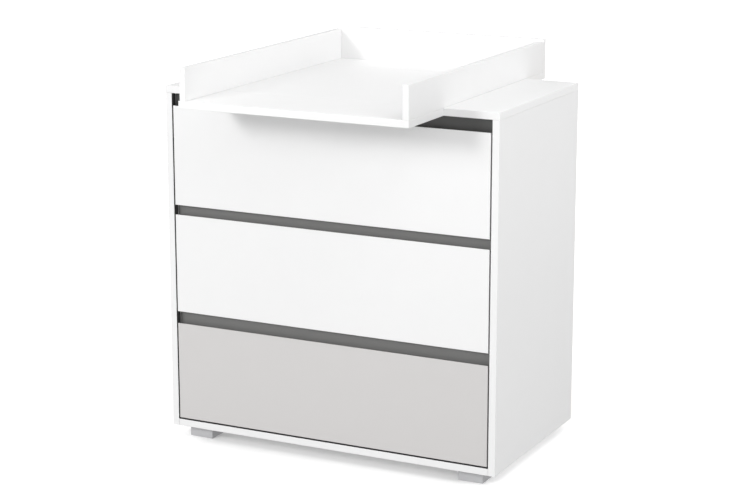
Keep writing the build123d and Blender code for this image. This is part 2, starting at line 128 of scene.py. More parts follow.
def painted_gap_shade_mask(tree, at):
    """1 on inner faces in front of the fronts' rear faces, where shade is painted; else 0."""
    out = add(tree, "ShaderNodeVectorMath", {0: at.outputs["Object"], 1: CHEST_MIDDLE},
              operation="SUBTRACT")
    turned = add(tree, "ShaderNodeVectorMath", {0: out.outputs[0], 1: at.outputs["Normal"]},
                 operation="DOT_PRODUCT")
    inward = add(tree, "ShaderNodeMath", {0: turned.outputs["Value"], 1: -0.2},
                 operation="LESS_THAN")
    place = add(tree, "ShaderNodeSeparateXYZ", {0: at.outputs["Object"]})
    front = add(tree, "ShaderNodeMath", {0: place.outputs["Y"], 1: FRONTS_REAR},
                operation="LESS_THAN")
    return add(tree, "ShaderNodeMath", {0: inward.outputs[0], 1: front.outputs[0]},
               operation="MULTIPLY")


def melamine(name, colour, thin_axis, pearl=0.12, face_gloss=0.42, band_gloss=0.33,
             paint_gap_shade=False):
    """Melamine-faced particle board whose faces look along thin_axis, with banded edges."""
    material, tree, at = new_finish(name)
    along = add(tree, "ShaderNodeVectorMath", {0: at.outputs["Normal"], 1: thin_axis},
                operation="DOT_PRODUCT")
    facing = add(tree, "ShaderNodeMath", {0: along.outputs["Value"]}, operation="ABSOLUTE")
    # 1 on the faces and 0 on the banded edges
    face = add(tree, "ShaderNodeMapRange", {"Value": facing.outputs[0], "From Min": 0.7,
                                            "From Max": 0.98}, interpolation_type="SMOOTHSTEP")
    # the glue line lies where the scraped round of the band begins
    glue = add(tree, "ShaderNodeMapRange", {"Value": facing.outputs[0], "From Min": 0.80,
                                            "From Max": 0.96, "To Max": 2.0})
    peak = add(tree, "ShaderNodeMath", {0: glue.outputs[0], 1: 1.0}, operation="PINGPONG")
    # paper takes the resin unevenly: cloudy patches about 60 mm wide, hardly visible
    cloud = add(tree, "ShaderNodeTexNoise", {"Vector": at.outputs["Object"],
                                             "Scale": per_metre(60), "Detail": 2.0})
    body = linear(colour)
    shade = tuple(c * 0.985 for c in body[:3]) + (1.0,)
    line = tuple(c * 0.80 for c in body[:3]) + (1.0,)
    paper = add(tree, "ShaderNodeMix", {"Factor": cloud.outputs["Fac"], 6: body, 7: shade},
                data_type="RGBA")
    edge = add(tree, "ShaderNodeMix", {"Factor": peak.outputs[0], 6: paper.outputs[2], 7: line},
               data_type="RGBA")
    # painted shade: the inner faces just behind the gaps round the fronts turn dark graphite
    if paint_gap_shade:
        edge = add(tree, "ShaderNodeMix", {"Factor": painted_gap_shade_mask(tree, at).outputs[0],
                                           6: edge.outputs[2], 7: linear(GAP_SHADE)},
                   data_type="RGBA")
    # the pearl of the press plate is about 0.4 mm; it is drawn at 2.5 mm so that it can show
    grain = add(tree, "ShaderNodeTexNoise", {"Vector": at.outputs["Object"],
                                             "Scale": per_metre(2.5), "Detail": 3.0})
    bump = add(tree, "ShaderNodeBump", {"Strength": pearl, "Distance": 0.0004,
                                        "Height": grain.outputs["Fac"]})
    gloss = add(tree, "ShaderNodeMapRange", {"Value": face.outputs[0], "To Min": band_gloss,
                                             "To Max": face_gloss})
    shader = add(tree, "ShaderNodeBsdfPrincipled", {
        "Base Color": edge.outputs[2], "Roughness": gloss.outputs[0],
        "Normal": bump.outputs["Normal"]})
    close_finish(tree, shader)
    return material


LYING, SIDEWAYS, ACROSS = (0, 0, 1), (1, 0, 0), (0, 1, 0)
WHITE = "#ededed"
white_lying = melamine("white_melamine_lying_board", WHITE, LYING)
white_side = melamine("white_melamine_side_board", WHITE, SIDEWAYS)
white_across = melamine("white_melamine_cross_board", WHITE, ACROSS)
# the panels round the drawers' opening carry the painted shade of the gaps
lying_with_gap_shade = melamine("white_melamine_lying_board_painted_gap_shade", WHITE, LYING, paint_gap_shade=True)
side_with_gap_shade = melamine("white_melamine_side_board_painted_gap_shade", WHITE, SIDEWAYS, paint_gap_shade=True)
grey_front = melamine("warm_grey_melamine_front", "#cdcbca", ACROSS)
graphite_rail = melamine("graphite_melamine_rail", "#6f6f6e", ACROSS, face_gloss=0.5)
# the rail under the top panel is darkened: painted shadow, so its recess reads as one deep shadow
rail_with_painted_shadow = melamine("graphite_melamine_rail_painted_shadow", "#4b4b4a", ACROSS, face_gloss=0.55)
print("melamine finishes", 8)

# %% [markdown]
# The back panel and the drawer bottoms are 3 mm hardboard. One side is lacquered white and
# faces the inside. The other shows the pressed brown fibres, which lie as short flecks, and the
# wire mesh of the press leaves a fine grid. Noises of different sizes give the felted look, and
# the surface normal picks the side: brown where it looks backwards or down.

# %% Hardboard
WAVE_RADIANS = 20


def hardboard(name, raw_direction):
    """Hardboard, lacquered white except on the side that looks along raw_direction."""
    material, tree, at = new_finish(name)
    along = add(tree, "ShaderNodeVectorMath", {0: at.outputs["Normal"], 1: raw_direction},
                operation="DOT_PRODUCT")
    raw = add(tree, "ShaderNodeMath", {0: along.outputs["Value"], 1: 0.5},
              operation="GREATER_THAN")
    # real fibres are under a millimetre wide; the flecks are drawn 3 mm across, and the board's
    # slow change of tone over about 40 mm
    fleck = add(tree, "ShaderNodeTexNoise", {"Vector": at.outputs["Object"],
                                             "Scale": per_metre(3), "Detail": 6.0,
                                             "Roughness": 0.7})
    patch = add(tree, "ShaderNodeTexNoise", {"Vector": at.outputs["Object"],
                                             "Scale": per_metre(40), "Detail": 2.0})
    both = add(tree, "ShaderNodeMix", {"Factor": 0.25, 2: fleck.outputs["Fac"],
                                       3: patch.outputs["Fac"]})
    fibre = add(tree, "ShaderNodeValToRGB", {"Fac": both.outputs[0]})
    fibre.color_ramp.elements[0].position = 0.30
    fibre.color_ramp.elements[0].color = linear("#94704c")
    fibre.color_ramp.elements[1].position = 0.70
    fibre.color_ramp.elements[1].color = linear("#b8946a")
    colour = add(tree, "ShaderNodeMix", {"Factor": raw.outputs[0], 6: linear("#eeeeec"),
                                         7: fibre.outputs["Color"]}, data_type="RGBA")
    gloss = add(tree, "ShaderNodeMapRange", {"Value": raw.outputs[0], "To Min": 0.45,
                                             "To Max": 0.8})
    # The press mesh has a wire every 1.5 mm. A wave texture turns through 20 radians per unit,
    # not 20 cycles, so this scale repeats every 2 pi * 6 = 38 mm, far coarser than the real mesh.
    waves = [add(tree, "ShaderNodeTexWave", {"Vector": at.outputs["Object"],
                                             "Scale": per_metre(6) / WAVE_RADIANS},
                 bands_direction=direction)
             for direction in ("X", "Z" if raw_direction[1] else "Y")]
    mesh = add(tree, "ShaderNodeMath", {0: waves[0].outputs["Fac"], 1: waves[1].outputs["Fac"]},
               operation="MULTIPLY")
    rough = add(tree, "ShaderNodeMath", {0: mesh.outputs[0], 1: fleck.outputs["Fac"]},
                operation="ADD")
    # the lacquered side is smooth, so the bump works on the raw side only
    depth = add(tree, "ShaderNodeMath", {0: rough.outputs[0], 1: raw.outputs[0]},
                operation="MULTIPLY")
    bump = add(tree, "ShaderNodeBump", {"Strength": 0.25, "Distance": 0.0004,
                                        "Height": depth.outputs[0]})
    shader = add(tree, "ShaderNodeBsdfPrincipled", {
        "Base Color": colour.outputs[2], "Roughness": gloss.outputs[0],
        "Normal": bump.outputs["Normal"]})
    close_finish(tree, shader)
    return material


back_hardboard = hardboard("lacquered_hardboard_back", (0, 1, 0))
bottom_hardboard = hardboard("lacquered_hardboard_bottom", (0, 0, -1))
print("hardboard finishes", 2)

# %% [markdown]
# The feet are moulded in ABS, coloured silver grey, in a tool whose walls are spark-eroded. That
# leaves an even, fine grit, and metallic flakes in the plastic give a slight shimmer. A voronoi
# pattern makes the grit, and its cells vary the colour a little.

# %% Moulded ABS
def spark_eroded_abs(name, colour):
    """Grey ABS from a spark-eroded mould."""
    material, tree, at = new_finish(name)
    # the grit is 0.3 mm on the real foot and drawn at 1.2 mm
    grit = add(tree, "ShaderNodeTexVoronoi", {"Vector": at.outputs["Object"],
                                              "Scale": per_metre(1.2)})
    flake = add(tree, "ShaderNodeMapRange", {"Value": grit.outputs["Distance"], "From Max": 0.7,
                                             "To Min": 0.94, "To Max": 1.04})
    tone = add(tree, "ShaderNodeVectorMath", {0: linear(colour)[:3], "Scale": flake.outputs[0]},
               operation="SCALE")
    bump = add(tree, "ShaderNodeBump", {"Strength": 0.2, "Distance": 0.0003,
                                        "Height": grit.outputs["Distance"]})
    shader = add(tree, "ShaderNodeBsdfPrincipled", {
        "Base Color": tone.outputs["Vector"], "Metallic": 0.15, "Roughness": 0.5,
        "Normal": bump.outputs["Normal"]})
    close_finish(tree, shader)
    return material


silver_abs = spark_eroded_abs("silver_grey_abs_foot", "#bdbdbf")
print("feet", silver_abs.name)

# %% [markdown]
# The drawer slides are rolled from steel strip and zinc plated. Rolling leaves long faint
# streaks along the strip, which runs from front to back, and the zinc has a cool, slightly
# cloudy shine. The screws and cams have the same plating without the streaks, so the streak
# length is an input: squeezing the coordinates along one axis stretches the noise along it.

# %% Zinc-plated steel
def zinc_plated(name, colour, stretch, patch_mm, roughness):
    """Zinc-plated metal; stretch above 1 draws the pattern out along Y."""
    material, tree, at = new_finish(name)
    squeezed = add(tree, "ShaderNodeMapping", {"Vector": at.outputs["Object"],
                                               "Scale": (1, 1 / stretch, 1)})
    streak = add(tree, "ShaderNodeTexNoise", {"Vector": squeezed.outputs["Vector"],
                                              "Scale": per_metre(patch_mm), "Detail": 4.0})
    low, high = linear(colour), tuple(c * 0.8 for c in linear(colour)[:3]) + (1.0,)
    tone = add(tree, "ShaderNodeMix", {"Factor": streak.outputs["Fac"], 6: low, 7: high},
               data_type="RGBA")
    gloss = add(tree, "ShaderNodeMapRange", {"Value": streak.outputs["Fac"],
                                             "To Min": roughness - 0.08,
                                             "To Max": roughness + 0.1})
    bump = add(tree, "ShaderNodeBump", {"Strength": 0.08, "Distance": 0.0002,
                                        "Height": streak.outputs["Fac"]})
    shader = add(tree, "ShaderNodeBsdfPrincipled", {
        "Base Color": tone.outputs[2], "Metallic": 1.0, "Roughness": gloss.outputs[0],
        "Normal": bump.outputs["Normal"]})
    close_finish(tree, shader)
    return material


slide_steel = zinc_plated("zinc_plated_rolled_steel_slide", "#c9ccd1", 40, 2, 0.34)
screw_steel = zinc_plated("zinc_plated_steel_screw", "#cfd1d4", 1, 4, 0.3)
cam_zinc = zinc_plated("die_cast_zinc_cam", "#b3b4b8", 1, 3, 0.45)
ball_steel = zinc_plated("polished_chrome_steel_ball", "#dcdee0", 1, 6, 0.16)
print("metal finishes", 4)

# %% [markdown]
# Dowels are turned from beech and pressed with flutes that let the glue rise. Beech is pale and
# pinkish with fine brown flecks along the grain. The dowels lie in different directions, so the
# flecks are drawn by a noise with no direction of its own, small enough to suit any of them.

# %% Beech
beech, tree, at = new_finish("fluted_beech_dowel")
fleck = add(tree, "ShaderNodeTexNoise", {"Vector": at.outputs["Object"], "Scale": per_metre(1.5),
                                         "Detail": 5.0, "Roughness": 0.65})
wood = add(tree, "ShaderNodeMix", {"Factor": fleck.outputs["Fac"], 6: linear("#d9b48a"),
                                   7: linear("#b98a5e")}, data_type="RGBA")
rough = add(tree, "ShaderNodeBump", {"Strength": 0.2, "Distance": 0.0002,
                                     "Height": fleck.outputs["Fac"]})
shader = add(tree, "ShaderNodeBsdfPrincipled", {
    "Base Color": wood.outputs[2], "Roughness": 0.65, "Normal": rough.outputs["Normal"]})
close_finish(tree, shader)
print("wood", beech.name)

# %% [markdown]
# The finishes go onto the CAD boards by name. A board's material depends on the way it stands:
# panels that lie flat, sides that face left and right, and boards that cross the front.

# %% Dress the CAD pieces
def finish_for(node):
    """The finish of a CAD piece, from its name."""
    if "slide_" in node:
        return slide_steel
    if node.endswith("screws"):
        return screw_steel
    if node == "cam_fittings":
        return cam_zinc
    if node == "wood_dowels":
        return beech
    if node.endswith("foot"):
        return silver_abs
    if node.startswith("grip_rail"):
        # the rail under the top panel takes the copy with the painted shadow of its recess
        return rail_with_painted_shadow if node == "grip_rail_1" else graphite_rail
    if node == "drawer_3_front":
        return grey_front
    if node == "back_panel":
        return back_hardboard
    if node.endswith("_bottom"):
        return bottom_hardboard
    # the top, bottom and side panels get the copies with the painted shade of the gaps
    if node in ("top_panel", "bottom_panel"):
        return lying_with_gap_shade
    if node.endswith("side_panel"):
        return side_with_gap_shade
    if node.endswith("extension_board"):
        return white_lying
    if "side" in node or node in ("left_rim", "right_rim"):
        return white_side
    return white_across


for name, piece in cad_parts.items():
    for slot in piece.material_slots:
        slot.material = finish_for(name)
print("dressed", len(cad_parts), "pieces")

# %% [markdown]
# The next pieces repeat: slots in a slide, balls in a row, flutes round a dowel. Geometry Nodes
# suit them, because one small tree with a few named sizes makes them all. Three helpers follow.
# The first opens a tree with named inputs. The second runs a tree on some mesh: it sets each
# input by its identifier, takes the result as a plain mesh and throws the modifier away. The
# third makes the finished mesh a piece that rides on a body of the model.

# %% Trees, and how to run one
def new_tree(name, inputs):
    """A geometry tree with named inputs; returns it and its input node."""
    tree = bpy.data.node_groups.new(name, "GeometryNodeTree")
    tree.interface.new_socket("Geometry", in_out="INPUT", socket_type="NodeSocketGeometry")
    for label, kind in inputs.items():
        tree.interface.new_socket(label, in_out="INPUT", socket_type="NodeSocket" + kind)
    tree.interface.new_socket("Geometry", in_out="OUTPUT", socket_type="NodeSocketGeometry")
    return tree, add(tree, "NodeGroupInput").outputs


def close_tree(tree, made, material):
    """Ends a tree: real geometry instead of instances, then its finish."""
    real = add(tree, "GeometryNodeRealizeInstances", {"Geometry": made})
    dressed = add(tree, "GeometryNodeSetMaterial", {"Geometry": real.outputs[0],
                                                    "Material": material})
    add(tree, "NodeGroupOutput", {0: dressed.outputs[0]})


def run_tree(tree, mesh, sizes):
    """The mesh that a tree makes of another, with its inputs set."""
    maker = bpy.data.objects.new(tree.name, mesh)
    scene.collection.objects.link(maker)
    modifier = maker.modifiers.new(tree.name, "NODES")
    modifier.node_group = tree
    names = {item.name: item.identifier for item in tree.interface.items_tree
             if item.in_out == "INPUT"}
    for label, value in sizes.items():
        modifier[names[label]] = value
    view = bpy.context.evaluated_depsgraph_get()
    made = bpy.data.meshes.new_from_object(maker.evaluated_get(view))
    maker.modifiers.remove(modifier)
    bpy.data.objects.remove(maker)
    return made


def piece_of(name, meshes, body, finish_slot, *nodes):
    """One piece from several meshes: it rides on a body and may stand for CAD nodes."""
    whole = bmesh.new()
    for mesh in meshes:
        whole.from_mesh(mesh)
    for face in whole.faces:
        face.material_index = 0
    joined = bpy.data.meshes.new(name)
    whole.to_mesh(joined)
    whole.free()
    # a tree's mesh keeps an empty first slot, so only its last material is taken along
    joined.materials.append(meshes[0].materials[-1])
    piece = bpy.data.objects.new(name, joined)
    scene.collection.objects.link(piece)
    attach(piece, body)
    if nodes:
        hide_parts(*nodes)
    return piece


MM = 0.001
SIDES = {"left": -1, "right": 1}
DRAWERS = (1, 2, 3)
print("bodies that carry slides", [f"drawer_{n}_runners" for n in DRAWERS])

# %% [markdown]
# A slide has three nested members, rolled from strip. Rolling bends the strip round a radius, so
# no corner is sharp, and the web is punched with slots before it is bent. The CAD members are
# plain channels with the right outside, so each rolled member takes its box from the CAD piece it
# replaces. Its outline is a closed C with arcs at the corners, drawn once and pulled from the
# front of the slide to its back.

# %% Rolled channels
STRIP = 1.2 * MM
BEND_RADIUS = 2.2 * MM
ARC_STEP, ARC_POINTS = math.pi / 12, 7


def rolled_outline(web_x, lip_x, low_z, high_z, wall, bend):
    """The closed outline of a C-shaped strip, as (x, z) points."""
    side = 1 if lip_x > web_x else -1

    def corner(z_edge, z_way, radius):
        """An arc at one corner of the C, from the flange round to the web."""
        cx, cz = web_x + side * bend, z_edge - z_way * bend
        return [(cx - side * radius * math.sin(ARC_STEP * k),
                 cz + z_way * radius * math.cos(ARC_STEP * k)) for k in range(ARC_POINTS)]

    outer = [(lip_x, high_z)] + corner(high_z, 1, bend)
    outer += corner(low_z, -1, bend)[::-1] + [(lip_x, low_z)]
    inner = [(lip_x, low_z + wall)] + corner(low_z, -1, bend - wall)
    inner += corner(high_z, 1, bend - wall)[::-1] + [(lip_x, high_z - wall)]
    return outer + inner


def rolled_channel(node, web_on_outside):
    """A mesh with the outside of a CAD slide member and rolled corners, and its web's place."""
    low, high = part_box(node)
    outside = low.x if low.x < 0 else high.x
    inside = high.x if low.x < 0 else low.x
    web_x, lip_x = (outside, inside) if web_on_outside else (inside, outside)
    outline = rolled_outline(web_x, lip_x, low.z, high.z, STRIP, BEND_RADIUS)
    count = len(outline)
    corners = [(x, y, z) for y in (low.y, high.y) for x, z in outline]
    faces = [(k, (k + 1) % count, count + (k + 1) % count, count + k) for k in range(count)]
    faces += [tuple(range(count))[::-1], tuple(range(count, 2 * count))]
    shape = bmesh.new()
    verts = [shape.verts.new(corner) for corner in corners]
    for face in faces:
        shape.faces.new([verts[k] for k in face])
    bmesh.ops.recalc_face_normals(shape, faces=shape.faces)
    mesh = bpy.data.meshes.new(node + "_rolled")
    shape.to_mesh(mesh)
    shape.free()
    return mesh, web_x


low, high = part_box("drawer_1_left_slide_outer")
print("slide", round((high.y - low.y) / MM), "mm long", round((high.z - low.z) / MM), "mm high")

# %% [markdown]
# The slots are the part that repeats. The tree draws one slot as a rectangle with full rounds,
# pulls it through the web's thickness, sets copies along the slide, and cuts them all out in one
# go. Its inputs are the sizes that a slide maker would quote: how many slots, where the first
# one is, their pitch, length and height.

# %% Punched slots
tree, given = new_tree("punched_slots", {"Slots": "Int", "Start": "Vector", "Pitch": "Float",
                                         "Slot Length": "Float", "Slot Height": "Float",
                                         "Depth": "Float"})
shape = add(tree, "GeometryNodeCurvePrimitiveQuadrilateral", {"Width": given["Slot Height"],
                                                              "Height": given["Slot Length"]})
# just under half the height, so that the two rounds at an end don't meet in one point
half = add(tree, "ShaderNodeMath", {0: given["Slot Height"], 1: 0.499}, operation="MULTIPLY")
rounded = add(tree, "GeometryNodeFilletCurve", {"Curve": shape.outputs[0], "Count": 5,
                                                "Radius": half.outputs[0]}, mode="POLY")
back = add(tree, "ShaderNodeMath", {0: given["Depth"], 1: -1.0}, operation="MULTIPLY")
start = add(tree, "ShaderNodeCombineXYZ", {"Z": back.outputs[0]})
end = add(tree, "ShaderNodeCombineXYZ", {"Z": given["Depth"]})
path = add(tree, "GeometryNodeCurvePrimitiveLine", {"Start": start.outputs[0],
                                                    "End": end.outputs[0]})
punch = add(tree, "GeometryNodeCurveToMesh", {"Curve": path.outputs[0],
                                              "Profile Curve": rounded.outputs[0],
                                              "Fill Caps": True})
# the punch is made upright; this lays it along X, with the slot's length along Y
laid = add(tree, "GeometryNodeTransform", {"Geometry": punch.outputs[0],
                                           "Rotation": (0, math.pi / 2, 0)})
pitch = add(tree, "ShaderNodeCombineXYZ", {"Y": given["Pitch"]})
places = add(tree, "GeometryNodeMeshLine", {"Count": given["Slots"],
                                            "Start Location": given["Start"],
                                            "Offset": pitch.outputs[0]})
punches = add(tree, "GeometryNodeInstanceOnPoints", {"Points": places.outputs[0],
                                                     "Instance": laid.outputs[0]})
solid = add(tree, "GeometryNodeRealizeInstances", {"Geometry": punches.outputs[0]})
cut = add(tree, "GeometryNodeMeshBoolean", {"Mesh 1": given["Geometry"],
                                            "Mesh 2": solid.outputs[0]},
          operation="DIFFERENCE", solver="EXACT")
close_tree(tree, cut.outputs[0], slide_steel)
punched_slots = tree
print("slot tree", len(punched_slots.nodes), "nodes")

# %% [markdown]
# Each member has its own row of slots, and the middle one has the longest. The members of one
# drawer that move together become one piece, and so do all the outer ones, which stay on the
# chest. Each piece stands for its plain CAD members, which stay behind only for collision.

# %% Make the slide pieces
# how many slots a member has, and their pitch, length and height in millimetres
SLOTS = {"outer": (5, 74, 14, 6), "middle": (4, 90, 22, 9), "inner": (5, 74, 10, 5)}
PUNCH_DEPTH = 4 * MM


def punched_member(node):
    """A rolled member with a row of slots punched in the middle of its web."""
    member = node.rsplit("_", 1)[1]
    slots, pitch, length, height = SLOTS[member]
    # the inner member's web lies on the drawer, and the other two have theirs on the outside
    mesh, web_x = rolled_channel(node, member != "inner")
    low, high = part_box(node)
    first = (low.y + high.y) / 2 - pitch * MM * (slots - 1) / 2
    start = (web_x, first, (low.z + high.z) / 2)
    return run_tree(punched_slots, mesh, {"Slots": slots, "Start": start, "Pitch": pitch * MM,
                                          "Slot Length": length * MM,
                                          "Slot Height": height * MM, "Depth": PUNCH_DEPTH})


def rolled_members(name, body, nodes):
    """One piece that stands for several CAD slide members on one body."""
    return piece_of(name, [punched_member(node) for node in nodes], body, "slide_steel", *nodes)


outer_nodes = [f"drawer_{n}_{side}_slide_outer" for n in DRAWERS for side in SIDES]
outer = rolled_members("rolled_outer_slides", "chest", outer_nodes)
print("outer members", len(outer_nodes), "triangles",
      sum(len(face.vertices) - 2 for face in outer.data.polygons))
for n in DRAWERS:
    for member, body in (("middle", f"drawer_{n}_runners"), ("inner", f"drawer_{n}")):
        rolled_members(f"drawer_{n}_rolled_{member}_slides", body,
                       [f"drawer_{n}_{side}_slide_{member}" for side in SIDES])
print("slide pieces", 1 + 2 * len(DRAWERS))

# %% [markdown]
# Between the members run small steel balls, held apart by a cage of thin strip. Each slide has
# four rows: above and below, outside and inside the middle member. The rows sit where they stay
# between both members however far the drawer is out: at the back of the middle member's outside
# and at the front of its inside. The tree lays a line of balls at every point it is given, so
# one mesh of eight points makes all the rows of a drawer. The balls have few faces, because
# there are hundreds of them.

# %% Rows of balls
tree, given = new_tree("ball_rows", {"Balls": "Int", "Pitch": "Float", "Radius": "Float"})
pitch = add(tree, "ShaderNodeCombineXYZ", {"Y": given["Pitch"]})
line = add(tree, "GeometryNodeMeshLine", {"Count": given["Balls"], "Offset": pitch.outputs[0]})
ball = add(tree, "GeometryNodeMeshUVSphere", {"Segments": 8, "Rings": 6,
                                              "Radius": given["Radius"]})
round_ball = add(tree, "GeometryNodeSetShadeSmooth", {"Geometry": ball.outputs[0]})
row = add(tree, "GeometryNodeInstanceOnPoints", {"Points": line.outputs[0],
                                                 "Instance": round_ball.outputs[0]})
rows = add(tree, "GeometryNodeInstanceOnPoints", {"Points": given["Geometry"],
                                                  "Instance": row.outputs[0]})
close_tree(tree, rows.outputs[0], ball_steel)
ball_rows = tree
print("ball tree", len(ball_rows.nodes), "nodes")

# %% [markdown]
# The cage is a ladder: two thin rails, a rung between each two balls, and one at each end. Only
# the rung repeats. The rails are as long as the row, so their length follows from the number of
# balls and their pitch.

# %% Ball cages
tree, given = new_tree("ball_cages", {"Balls": "Int", "Pitch": "Float", "Width": "Float",
                                      "Strip": "Float"})
rungs = add(tree, "ShaderNodeMath", {0: given["Balls"], 1: 1.0}, operation="ADD")
whole = add(tree, "ShaderNodeMath", {0: given["Balls"], 1: given["Pitch"]}, operation="MULTIPLY")
half_way = add(tree, "ShaderNodeMath", {0: given["Pitch"], 1: -0.5}, operation="MULTIPLY")
wide = add(tree, "ShaderNodeMath", {0: given["Strip"], 1: 3.0}, operation="MULTIPLY")
rung_size = add(tree, "ShaderNodeCombineXYZ", {"X": given["Width"], "Y": wide.outputs[0],
                                               "Z": given["Strip"]})
rung = add(tree, "GeometryNodeMeshCube", {"Size": rung_size.outputs[0]})
first = add(tree, "ShaderNodeCombineXYZ", {"Y": half_way.outputs[0]})
pitch = add(tree, "ShaderNodeCombineXYZ", {"Y": given["Pitch"]})
ladder = add(tree, "GeometryNodeMeshLine", {"Count": rungs.outputs[0],
                                            "Start Location": first.outputs[0],
                                            "Offset": pitch.outputs[0]})
steps = add(tree, "GeometryNodeInstanceOnPoints", {"Points": ladder.outputs[0],
                                                   "Instance": rung.outputs[0]})
rail_size = add(tree, "ShaderNodeCombineXYZ", {"X": given["Strip"], "Y": whole.outputs[0],
                                               "Z": given["Strip"]})
rail = add(tree, "GeometryNodeMeshCube", {"Size": rail_size.outputs[0]})
out = add(tree, "ShaderNodeMath", {0: given["Width"], 1: 0.5}, operation="MULTIPLY")
middle = add(tree, "ShaderNodeMath", {0: whole.outputs[0], 1: 0.5}, operation="MULTIPLY")
middle_y = add(tree, "ShaderNodeMath", {0: middle.outputs[0], 1: half_way.outputs[0]},
               operation="ADD")
rails = []
for way in (-1.0, 1.0):
    x = add(tree, "ShaderNodeMath", {0: out.outputs[0], 1: way}, operation="MULTIPLY")
    spot = add(tree, "ShaderNodeCombineXYZ", {"X": x.outputs[0], "Y": middle_y.outputs[0]})
    moved = add(tree, "GeometryNodeTransform", {"Geometry": rail.outputs[0],
                                                "Translation": spot.outputs[0]})
    rails.append(moved.outputs[0])
cage = add(tree, "GeometryNodeJoinGeometry")
for part in [steps.outputs[0], *rails]:
    tree.links.new(part, cage.inputs[0])
cages = add(tree, "GeometryNodeInstanceOnPoints", {"Points": given["Geometry"],
                                                   "Instance": cage.outputs[0]})
close_tree(tree, cages.outputs[0], slide_steel)
ball_cages = tree
print("cage tree", len(ball_cages.nodes), "nodes")

# %% [markdown]
# Both trees need the same points: where each row begins. They are worked out from the boxes of
# the CAD members, midway between the two that a row runs in. The balls and cages ride with the
# middle member, which travels half as far as the drawer, as they do on a real slide.

# %% Place the balls and cages
ROW_INSET = 15 * MM


def row_starts(n, balls, pitch):
    """A mesh of points: where each row of balls of a drawer begins."""
    points = []
    for side in SIDES:
        outer_low, outer_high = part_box(f"drawer_{n}_{side}_slide_outer")
        mid_low, mid_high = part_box(f"drawer_{n}_{side}_slide_middle")
        in_low, in_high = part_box(f"drawer_{n}_{side}_slide_inner")
        x_out = (max(outer_low.x, mid_low.x) + min(outer_high.x, mid_high.x)) / 2
        x_in = (max(in_low.x, mid_low.x) + min(in_high.x, mid_high.x)) / 2
        back, front = mid_high.y - ROW_INSET - pitch * (balls - 1), mid_low.y + ROW_INSET
        for way, mid, inner, outer in ((1, mid_high.z, in_high.z, outer_high.z),
                                       (-1, mid_low.z, in_low.z, outer_low.z)):
            points.append((x_out, back, (mid + outer - way * STRIP) / 2))
            points.append((x_in, front, (inner + mid - way * STRIP) / 2))
    mesh = bpy.data.meshes.new("row_starts")
    mesh.from_pydata(points, [], [])
    return mesh


BALLS, BALL_PITCH, BALL_RADIUS = 12, 13 * MM, 0.8 * MM
CAGE_WIDTH, CAGE_STRIP = 3.2 * MM, 0.4 * MM
ROWS_PER_DRAWER = 4 * len(SIDES)
for n in DRAWERS:
    starts = row_starts(n, BALLS, BALL_PITCH)
    made = run_tree(ball_rows, starts, {"Balls": BALLS, "Pitch": BALL_PITCH,
                                        "Radius": BALL_RADIUS})
    piece_of(f"drawer_{n}_slide_balls", [made], f"drawer_{n}_runners", "slide_steel")
    made = run_tree(ball_cages, starts, {"Balls": BALLS, "Pitch": BALL_PITCH,
                                         "Width": CAGE_WIDTH, "Strip": CAGE_STRIP})
    piece_of(f"drawer_{n}_ball_cages", [made], f"drawer_{n}_runners", "slide_steel")
print("balls", BALLS * ROWS_PER_DRAWER * len(DRAWERS))

# %% [markdown]
# The dowels of the model are plain pins in one group. To flute them, the script needs each pin's
# middle and direction, so it splits the group into its loose parts and measures them. The
# group's mesh is a copy, merged first, because the CAD mesh itself is loose triangles that must
# stay as they are.

# %% Find the dowels
def loose_parts(node):
    """The lowest and highest corner of each separate solid of a CAD node."""
    mesh = bmesh.new()
    mesh.from_mesh(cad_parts[node].data)
    bmesh.ops.remove_doubles(mesh, verts=mesh.verts, dist=1e-6)
    unseen, parts = set(mesh.verts), []
    while unseen:
        waiting, part = [unseen.pop()], []
        while waiting:
            vert = waiting.pop()
            part.append(vert.co)
            near = {edge.other_vert(vert) for edge in vert.link_edges} & unseen
            unseen -= near
            waiting.extend(near)
        parts.append((Vector([min(p[k] for p in part) for k in range(3)]),
                      Vector([max(p[k] for p in part) for k in range(3)])))
    mesh.free()
    return sorted(parts, key=lambda part: [round(v, 5) for v in part[0]])


dowels = loose_parts("wood_dowels")
print("dowels", len(dowels), "size", [round(v * 1000, 1) for v in dowels[0][1] - dowels[0][0]])

# %% [markdown]
# A fluted pin is a cylinder whose radius dips a little between its ridges. The tree starts from
# a cylinder with one ring per millimetre, and a wave of the angle pushes its points inwards. The
# two end rings are drawn in for the chamfer that helps the pin find its hole. The pins are set
# on points that carry their direction as an attribute.

# %% Fluted dowels
tree, given = new_tree("fluted_dowels", {"Length": "Float", "Radius": "Float", "Flutes": "Int",
                                         "Flute Depth": "Float", "Chamfer": "Float"})
pin = add(tree, "GeometryNodeMeshCylinder", {"Vertices": 72, "Side Segments": 30,
                                             "Radius": given["Radius"],
                                             "Depth": given["Length"]})
where = add(tree, "GeometryNodeInputPosition")
split = add(tree, "ShaderNodeSeparateXYZ", {0: where.outputs[0]})
angle = add(tree, "ShaderNodeMath", {0: split.outputs["Y"], 1: split.outputs["X"]},
            operation="ARCTAN2")
turns = add(tree, "ShaderNodeMath", {0: angle.outputs[0], 1: given["Flutes"]},
            operation="MULTIPLY")
wave = add(tree, "ShaderNodeMath", {0: turns.outputs[0]}, operation="COSINE")
dip = add(tree, "ShaderNodeMapRange", {"Value": wave.outputs[0], "From Min": -1.0,
                                       "To Max": given["Flute Depth"]})
height = add(tree, "ShaderNodeMath", {0: split.outputs["Z"]}, operation="ABSOLUTE")
